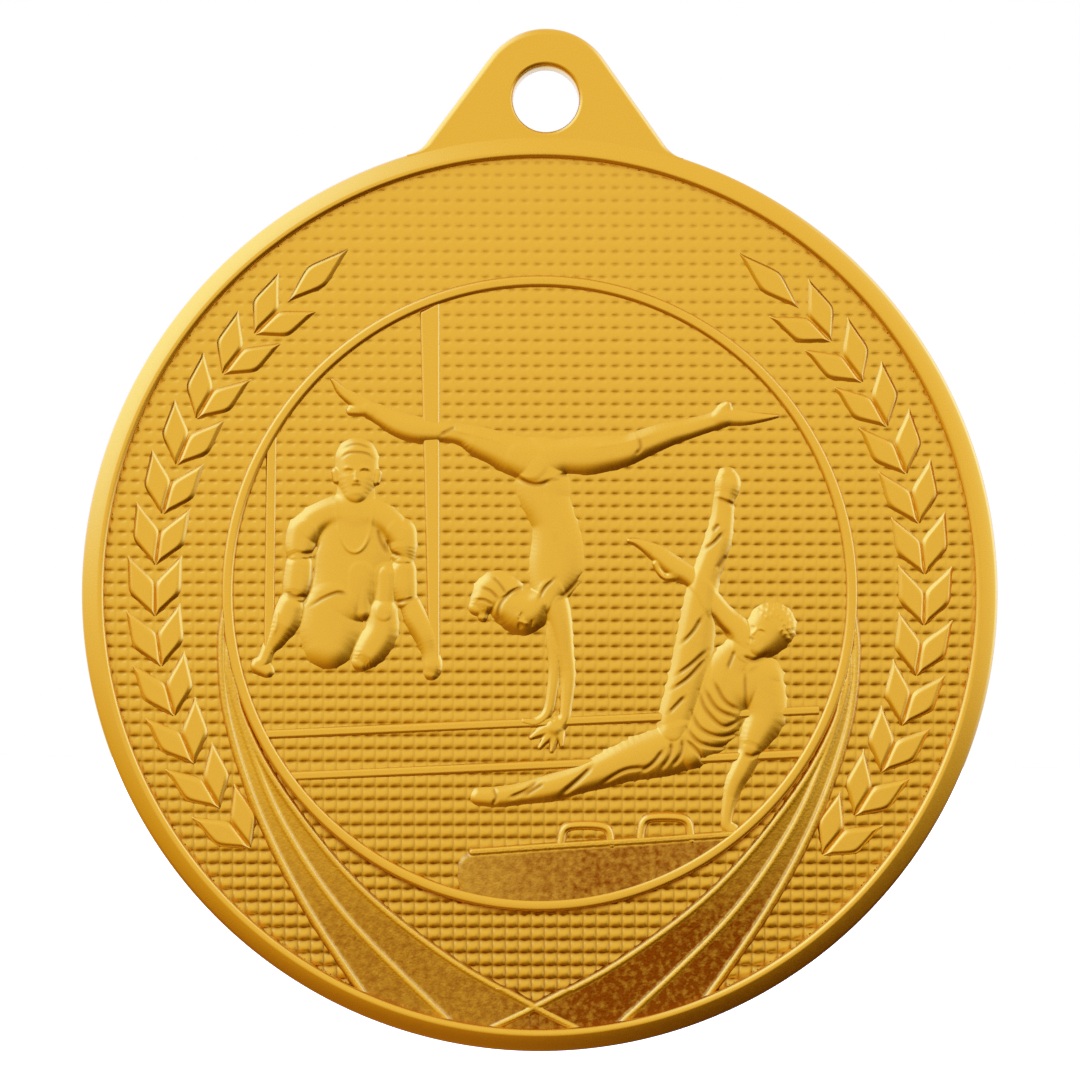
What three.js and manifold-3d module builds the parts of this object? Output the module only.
// A cast gymnastics medal, 50 mm across, in millimetres.
// It hangs upright: +Z is up, the front faces -Y, and the origin is the centre of the hanging hole.
// The front is drawn in face coordinates: u to the right and v up from the disc's centre, and a height
// that grows from the medal's middle plane towards the viewer.
import * as THREE from "three";
import { mergeVertices } from "three/addons/utils/BufferGeometryUtils.js";
import Module from "manifold-3d";

const wasm = await Module();
wasm.setup();

// ---- Driving dimensions, mm ----
const DISC_RADIUS = 25;
const THICKNESS = 3;
const RIM_WIDTH = 1.28;
const RIM_ABOVE_FIELD = 0.6;
const BACK_RECESS = 0.5;
const HOLE_RADIUS = 1.8;
const HOLE_TO_DISC_CENTRE = 27;
const TAB_RADIUS = 3.85;
const TAB_THICKNESS = 2.4;
const TAB_SIDE_ANGLE = THREE.MathUtils.degToRad(36);
const TAB_FILLET = 2;
const INNER_RING_RADIUS = 17.37;
const INNER_RING_WIDTH = 0.64;
const GAP = 0.02;

// Heights of the raised work above the field, mm.
const RING_RISE = 0.3;
const SASH_RISE = 0.22;
const APPARATUS_RISE = 0.2;
const LEAF_RISE = 0.32;
const FIGURE_RISE = 0.5;

// Laurel: pairs of leaves along an arc about the disc's centre.
const LAUREL_RADIUS = 21.05;
const LEAF_PAIRS = 12;
const TIP_LEAF_ANGLE = THREE.MathUtils.degToRad(41.9);
const FIRST_PAIR_ANGLE = THREE.MathUtils.degToRad(48.7);
const PAIR_STEP = THREE.MathUtils.degToRad(7.6);
const LEAF_LENGTH = 3.8;
const LEAF_WIDTH = 1.5;
const TIP_LEAF_LENGTH = 4.7;
const OUTER_LEAF_TURN = THREE.MathUtils.degToRad(20);
const INNER_LEAF_TURN = THREE.MathUtils.degToRad(27);

// ---- Worked-out sizes ----
const RIM_HEIGHT = THICKNESS / 2;
const FIELD_HEIGHT = RIM_HEIGHT - RIM_ABOVE_FIELD;
const BACK_HEIGHT = -(RIM_HEIGHT - BACK_RECESS);
const RIM_INNER_RADIUS = DISC_RADIUS - RIM_WIDTH;
const INNER_RING_BORE = INNER_RING_RADIUS - INNER_RING_WIDTH;
const DISC_SEGMENTS = 80;
const RING_SEGMENTS = 64;
const ARC_SEGMENTS = 5;
const CURVE_SEGMENTS = 12;

// ---- Materials: one satin gold finish, with a finer and a grainier one ----
const goldField = new THREE.MeshStandardMaterial({ color: 0xdca238, roughness: 0.5, metalness: 1 });
const goldSmooth = new THREE.MeshStandardMaterial({ color: 0xe6b244, roughness: 0.36, metalness: 1 });
const goldGrained = new THREE.MeshStandardMaterial({ color: 0xb27a1c, roughness: 0.62, metalness: 1 });

// ---- Solids ----
function solid(geometry) {
  const bare = geometry.clone();
  bare.deleteAttribute("normal");
  bare.deleteAttribute("uv");
  const merged = mergeVertices(bare, 1e-4);
  return new wasm.Manifold(
    new wasm.Mesh({
      numProp: 3,
      vertProperties: new Float32Array(merged.attributes.position.array),
      triVerts: new Uint32Array(merged.index.array),
    }),
  );
}

function join(solids) {
  return solids.reduce((whole, next) => whole.add(next));
}

function meshOf(name, made, material) {
  const data = made.getMesh();
  const geometry = new THREE.BufferGeometry();
  geometry.setAttribute("position", new THREE.BufferAttribute(data.vertProperties, 3));
  geometry.setIndex(new THREE.BufferAttribute(data.triVerts, 1));
  geometry.computeVertexNormals();
  const mesh = new THREE.Mesh(geometry, material);
  mesh.name = name;
  return mesh;
}

// A face outline made into a plate between two heights.
function plate(shape, low, high, segments = ARC_SEGMENTS) {
  const options = { depth: high - low, bevelEnabled: false, curveSegments: segments };
  const geometry = new THREE.ExtrudeGeometry(shape, options);
  geometry.rotateX(Math.PI / 2);
  geometry.translate(0, -low, -HOLE_TO_DISC_CENTRE);
  return solid(geometry);
}

function relief(shape, rise) {
  return plate(shape, FIELD_HEIGHT, FIELD_HEIGHT + rise);
}

// A solid turned about the disc's own axis, from [radius, height] corners. A ring's corners run up its
// inside and down its outside and close on the first one; a disc's start and end on the axis.
function turned(corners, segments) {
  const profile = corners.map(([radius, height]) => new THREE.Vector2(radius, -height));
  const geometry = new THREE.LatheGeometry(profile, segments);
  geometry.translate(0, 0, -HOLE_TO_DISC_CENTRE);
  return solid(geometry);
}

function ringBetween(inner, outer, low, high, segments) {
  return turned([[inner, low], [inner, high], [outer, high], [outer, low], [inner, low]], segments);
}

function discOf(radius, low, high, segments) {
  return turned([[0, high], [radius, high], [radius, low], [0, low]], segments);
}

// ---- The blank: disc, rim and hanging tab ----
function blankDisc() {
  return discOf(RIM_INNER_RADIUS - GAP, BACK_HEIGHT, FIELD_HEIGHT, DISC_SEGMENTS);
}

// The rim's crest is near its inner wall, and its front falls away to the edge in a long round slope.
function rim() {
  const crest = RIM_INNER_RADIUS + 0.25;
  const edge = DISC_RADIUS;
  const foot = [RIM_INNER_RADIUS, -RIM_HEIGHT + 0.2];
  return turned(
    [
      foot,
      [RIM_INNER_RADIUS, RIM_HEIGHT - 0.2],
      [crest, RIM_HEIGHT],
      [edge - 0.55, RIM_HEIGHT - 0.12],
      [edge - 0.2, RIM_HEIGHT - 0.32],
      [edge, RIM_HEIGHT - 0.65],
      [edge, -RIM_HEIGHT + 0.4],
      [edge - 0.25, -RIM_HEIGHT],
      [crest, -RIM_HEIGHT],
      foot,
    ],
    DISC_SEGMENTS,
  );
}

// Round-topped ear about the hole, with straight sides that fillet into the rim's edge.
function hangingTab() {
  const normal = new THREE.Vector2(Math.cos(TAB_SIDE_ANGLE), Math.sin(TAB_SIDE_ANGLE));
  const along = new THREE.Vector2(normal.y, -normal.x);
  const holeCentre = new THREE.Vector2(0, HOLE_TO_DISC_CENTRE);
  // The fillet's centre lies one fillet outside the side, as far down it as one fillet off the disc.
  const offset = normal.clone().multiplyScalar(TAB_RADIUS + TAB_FILLET).add(holeCentre);
  const reach = DISC_RADIUS + TAB_FILLET;
  const rise = -offset.dot(along);
  const slide = rise - Math.sqrt(rise * rise - offset.lengthSq() + reach * reach);
  const fillet = offset.clone().addScaledVector(along, slide);
  const toDisc = fillet.clone().negate().angle();
  const toSide = normal.clone().negate().angle();

  const outline = new THREE.Shape();
  outline.absarc(fillet.x, fillet.y, TAB_FILLET, toDisc, toSide, true);
  outline.absarc(0, HOLE_TO_DISC_CENTRE, TAB_RADIUS, TAB_SIDE_ANGLE, Math.PI - TAB_SIDE_ANGLE, false);
  outline.absarc(-fillet.x, fillet.y, TAB_FILLET, Math.PI - toSide, Math.PI - toDisc, true);
  outline.closePath();
  const hole = new THREE.Path();
  hole.absarc(0, HOLE_TO_DISC_CENTRE, HOLE_RADIUS, 0, 2 * Math.PI, true);
  outline.holes.push(hole);

  const blank = plate(outline, -TAB_THICKNESS / 2, TAB_THICKNESS / 2, 3 * ARC_SEGMENTS);
  const seat = discOf(DISC_RADIUS + GAP, -THICKNESS, THICKNESS, DISC_SEGMENTS);
  return blank.subtract(seat);
}

function innerRing(grow = 0) {
  return ringBetween(
    INNER_RING_BORE - grow,
    INNER_RING_RADIUS + grow,
    FIELD_HEIGHT,
    FIELD_HEIGHT + RING_RISE + grow,
    RING_SEGMENTS,
  );
}

function insideRing() {
  return discOf(INNER_RING_BORE - GAP, FIELD_HEIGHT, RIM_HEIGHT, RING_SEGMENTS);
}

// ---- Laurel ----
// A pointed leaf from its base, turned clockwise from straight up, and widest half way along.
function leaf(base, turn, length) {
  const forward = new THREE.Vector2(Math.sin(turn), Math.cos(turn));
  const side = new THREE.Vector2(forward.y, -forward.x);
  const at = (along, across) =>
    base.clone().addScaledVector(forward, along * length).addScaledVector(side, across * LEAF_WIDTH);
  const rightSide = [at(-0.05, 0.1), at(0.3, 0.42), at(0.5, 0.5), at(0.75, 0.32)];
  const leftSide = [at(0.75, -0.32), at(0.5, -0.5), at(0.3, -0.42), at(-0.05, -0.1)];
  return relief(new THREE.Shape([...rightSide, at(1, 0), ...leftSide]), LEAF_RISE);
}

// A place on the branch, and the turn from straight up of the branch's line there, towards its tip.
// side is -1 for the left branch and 1 for the right one.
function branchAt(side, angle) {
  const place = new THREE.Vector2(side * Math.sin(angle), Math.cos(angle));
  return { base: place.multiplyScalar(LAUREL_RADIUS), turn: side * (angle - Math.PI / 2) };
}

function laurelTip(side) {
  const { base, turn } = branchAt(side, TIP_LEAF_ANGLE);
  return leaf(base, turn, TIP_LEAF_LENGTH);
}

function leafPair(side, index) {
  const { base, turn } = branchAt(side, FIRST_PAIR_ANGLE + index * PAIR_STEP);
  const outer = leaf(base, turn + side * OUTER_LEAF_TURN, LEAF_LENGTH);
  const inner = leaf(base, turn - side * INNER_LEAF_TURN, LEAF_LENGTH);
  return join([outer, inner]);
}

// ---- Sashes: two broad bands that leave the ring at its sides and cross at the bottom ----
// Each band has two strips between three lines. The lines are those of the left band, from the top down.
const outerLine = [[-17.35, -3.2], [-16.9, -7.2], [-15.2, -12.2], [-12.6, -17.2], [-9.0, -22.5]];
const middleLine = [[-16.9, -4.6], [-15.6, -8.9], [-13.7, -13.1], [-10.3, -17.9], [-4.2, -23.9]];
const innerLine = [[-16.2, -6.9], [-14.1, -10.8], [-9.9, -15.95], [-4.7, -20.05], [0, -22.6]];
const CROSSING = new THREE.Vector2(0, -22.6);
const CROSSING_END = new THREE.Vector2(3.2, -24.15);

function curvePoints(line, side) {
  const points = line.map(([u, v]) => new THREE.Vector2(-side * u, v));
  return new THREE.SplineCurve(points).getPoints(CURVE_SEGMENTS);
}

function insideRim(shape, rise) {
  const bed = discOf(RIM_INNER_RADIUS - GAP, FIELD_HEIGHT, RIM_HEIGHT, DISC_SEGMENTS);
  return relief(shape, rise).intersect(bed).subtract(innerRing(GAP));
}

// The strip between two lines, narrowed by a hair on the side of the second one.
function strip(first, second, side, corner = []) {
  const near = curvePoints(first, side);
  const far = curvePoints(second, side).map((point) => point.clone().setX(point.x + side * GAP));
  const shape = new THREE.Shape([...near, ...corner, ...far.reverse()]);
  return insideRim(shape, SASH_RISE);
}

function sashOuterStrip(side) {
  return strip(outerLine, middleLine, side);
}

function sashInnerStrip(side) {
  const foot = new THREE.Vector2(side * CROSSING_END.x, CROSSING_END.y);
  return strip(middleLine, innerLine, side, [foot]);
}

function sashCrossing() {
  const low = CROSSING_END.clone().add(new THREE.Vector2(-0.15, 0));
  const top = CROSSING.clone().add(new THREE.Vector2(0, -0.1));
  return insideRim(new THREE.Shape([top, new THREE.Vector2(-low.x, low.y), low]), SASH_RISE);
}

// ---- Figures and apparatus ----
// A limb runs through its joints: [u, v, radius]. Each stretch between two joints is a tapered rod seen
// from the side, its two round ends joined by their common tangents.
function limb(joints, rise) {
  const stretches = joints.slice(1).map((to, i) => {
    const [u0, v0, r0] = joints[i];
    const [u1, v1, r1] = to;
    const run = new THREE.Vector2(u1 - u0, v1 - v0);
    const heading = run.angle();
    const spread = Math.acos((r0 - r1) / run.length());
    const shape = new THREE.Shape();
    shape.absarc(u0, v0, r0, heading + spread, heading - spread + 2 * Math.PI, false);
    shape.absarc(u1, v1, r1, heading - spread, heading + spread, false);
    return relief(shape, rise);
  });
  return join(stretches);
}

function figure(limbs) {
  return join(Object.values(limbs).map((joints) => limb(joints, FIGURE_RISE)));
}

// Seen from the front, held up on the still rings with the knees drawn up.
function gymnastOnRings() {
  return figure({
    head: [[-10.1, 7.2, 1.2], [-10.1, 5.6, 1.1]],
    chest: [[-10.1, 5.2, 1.0], [-10.1, 3.0, 1.6], [-10.2, 1.6, 2.3], [-10.3, -0.6, 2.1]],
    leftUpperArm: [[-10.6, 3.4, 1.0], [-12.5, 2.7, 0.9], [-12.9, 0.7, 0.8], [-13.1, -0.3, 0.6]],
    leftForearm: [[-13.2, -0.3, 0.7], [-14.7, -3.0, 0.4], [-14.8, -4.0, 0.6]],
    rightUpperArm: [[-9.6, 3.4, 1.0], [-7.9, 2.6, 0.9], [-7.4, 0.8, 0.7], [-7.3, -0.2, 0.6]],
    rightForearm: [[-7.1, -0.3, 0.6], [-5.9, -3.1, 0.45], [-5.7, -4.2, 0.6]],
    leftThigh: [[-10.9, -0.9, 1.6], [-11.2, -2.5, 1.8]],
    rightThigh: [[-9.0, -0.9, 1.1], [-8.9, -3.0, 1.3]],
  });
}

// A handstand with the legs in a wide split.
function gymnastOnBeam() {
  return figure({
    trunk: [[-0.1, 6.9, 1.4], [0.7, 4.0, 1.2], [0.8, 1.7, 1.5], [0.7, 0.4, 1.2]],
    leftThigh: [[-0.5, 7.2, 1.2], [-2.8, 8.1, 0.85], [-4.8, 8.6, 0.55]],
    leftCalf: [[-4.8, 8.6, 0.55], [-6.6, 8.7, 0.65], [-8.1, 9.3, 0.5], [-9.6, 10.1, 0.4]],
    leftFoot: [[-10.9, 11.0, 0.2], [-9.6, 10.1, 0.4], [-10.4, 9.7, 0.25]],
    rightThigh: [[1.0, 7.4, 1.2], [4.3, 7.8, 0.9], [7.6, 8.95, 0.6]],
    rightCalf: [[7.6, 8.95, 0.6], [9.3, 9.45, 0.4]],
    rightFoot: [[10.2, 10.2, 0.2], [9.8, 9.5, 0.4], [11.1, 9.6, 0.35], [12.8, 9.8, 0.15]],
    head: [[-1.2, -0.9, 1.3], [-2.3, 0.1, 1.0]],
    neck: [[-1.0, -0.4, 0.9], [0.6, 0.3, 0.9]],
    nearArm: [[0.9, -0.2, 0.75], [1.4, -3.3, 0.5], [1.4, -5.2, 0.4], [1.3, -7.0, 0.4]],
    farArm: [[0.7, -0.8, 0.5], [0.7, -5.2, 0.35], [0.7, -7.0, 0.4]],
    hands: [[0.9, -7.0, 0.6], [0.7, -8.2, 0.5]],
  });
}

// A scissor swing: one leg high, the other out to the side, one hand on the horse.
function gymnastOnHorse() {
  return figure({
    raisedFoot: [[10.25, 6.1, 0.6], [10.2, 5.0, 0.5]],
    raisedLeg: [[10.2, 5.0, 0.5], [9.6, 2.8, 0.75], [8.5, -2.4, 1.25], [7.8, -5.7, 1.4], [7.6, -7.4, 1.2]],
    freeHand: [[5.3, 2.7, 0.3], [6.3, 2.1, 0.45]],
    freeArm: [[6.3, 2.1, 0.45], [7.6, 1.5, 0.45], [9.4, 0.1, 0.5], [10.8, -1.9, 0.7]],
    head: [[12.5, -1.9, 1.3], [12.1, -2.9, 1.1]],
    trunk: [[10.8, -3.2, 1.2], [9.8, -5.5, 1.5], [8.4, -7.5, 1.3]],
    shoulder: [[11.0, -4.6, 1.4], [12.2, -5.9, 1.4]],
    lowLeg: [[7.5, -8.0, 1.2], [4.0, -9.3, 0.85], [1.1, -10.3, 0.6]],
    lowFoot: [[1.1, -10.3, 0.6], [-1.4, -10.9, 0.5], [-3.2, -11.25, 0.45]],
    supportArm: [[12.0, -6.9, 0.8], [11.6, -9.0, 0.55], [10.7, -11.0, 0.4], [10.4, -12.5, 0.4]],
  });
}

// The horse rests in the bottom of the ring, round at its left end. The pommels stand at about this v.
const HORSE_TOP = -13.6;

function pommelHorse() {
  const shape = new THREE.Shape();
  shape.moveTo(10.8, -13.05);
  shape.lineTo(1.3, -13.7);
  shape.lineTo(-3.4, -14.05);
  shape.bezierCurveTo(-4.2, -14.2, -4.4, -15.2, -3.8, -16.6);
  shape.lineTo(10.8, -16.6);
  shape.closePath();
  return relief(shape, APPARATUS_RISE).intersect(insideRing());
}

// A round-cornered handle, standing on the horse's top edge.
function pommel(left, right, top) {
  const halfBar = 0.2;
  const corner = 0.9;
  const arch = (grow, foot) => {
    const shape = new THREE.Shape();
    shape.moveTo(left - grow, foot);
    shape.lineTo(right + grow, foot);
    shape.absarc(right - corner, top - corner, corner + grow, 0, Math.PI / 2, false);
    shape.absarc(left + corner, top - corner, corner + grow, Math.PI / 2, Math.PI, false);
    shape.closePath();
    return relief(shape, APPARATUS_RISE);
  };
  return arch(halfBar, HORSE_TOP - 0.2).subtract(arch(-halfBar, HORSE_TOP - 1));
}

// A straight band between two ends, [u, v, half width] each.
function band(from, to) {
  const shape = new THREE.Shape();
  const ends = [from, to].map(([u, v]) => new THREE.Vector2(u, v));
  const side = ends[1].clone().sub(ends[0]).normalize().rotateAround(new THREE.Vector2(), Math.PI / 2);
  const corner = (end, half) => end.clone().addScaledVector(side, half);
  shape.setFromPoints([
    corner(ends[0], -from[2]),
    corner(ends[1], -to[2]),
    corner(ends[1], to[2]),
    corner(ends[0], from[2]),
  ]);
  return relief(shape, APPARATUS_RISE).intersect(insideRing());
}

const group = new THREE.Group();
group.name = "medal";
function put(name, made, material) {
  group.add(meshOf(name, made, material));
}

put("blank_disc", blankDisc(), goldField);
put("rim", rim(), goldSmooth);
put("hanging_tab", hangingTab(), goldSmooth);
put("inner_ring", innerRing(), goldSmooth);

const apparatus = {
  strap_left: band([-14.7, 9, 0.3], [-14.7, -3.4, 0.3]),
  strap_right: band([-6.2, 16.5, 0.6], [-5.65, -3.8, 0.3]),
  beam_upper_edge: band([-17, -8, 0.25], [17, -6.1, 0.25]),
  beam_lower_edge: band([-17, -10.35, 0.25], [17, -8.45, 0.25]),
};
const horse = pommelHorse();
const handles = {
  pommel_left: pommel(1.15, 4.25, -12.5).subtract(horse),
  pommel_right: pommel(5.5, 8.6, -12.0).subtract(horse),
};
put("pommel_horse", horse, goldGrained);
for (const [name, made] of Object.entries({ ...apparatus, ...handles })) {
  put(name, made, goldSmooth);
}

// A figure stands on the field and is hollowed under where it passes over the apparatus.
const figures = {
  gymnast_on_rings: gymnastOnRings(),
  gymnast_on_beam: gymnastOnBeam(),
  gymnast_on_horse: gymnastOnHorse(),
};
const lower = [...Object.values(apparatus), ...Object.values(handles), horse];
for (const [name, made] of Object.entries(figures)) {
  const body = lower.reduce((left, piece) => left.subtract(piece), made.intersect(insideRing()));
  put(name, body, goldSmooth);
}

for (const [label, side] of [["left", -1], ["right", 1]]) {
  put(`sash_${label}_outer`, sashOuterStrip(side), goldGrained);
  put(`sash_${label}_inner`, sashInnerStrip(side), goldGrained);
  put(`laurel_${label}_tip`, laurelTip(side), goldSmooth);
  for (let index = 0; index < LEAF_PAIRS; index += 1) {
    const number = String(index + 1).padStart(2, "0");
    put(`laurel_${label}_pair_${number}`, leafPair(side, index), goldSmooth);
  }
}
put("sash_crossing", sashCrossing(), goldGrained);

export default group;
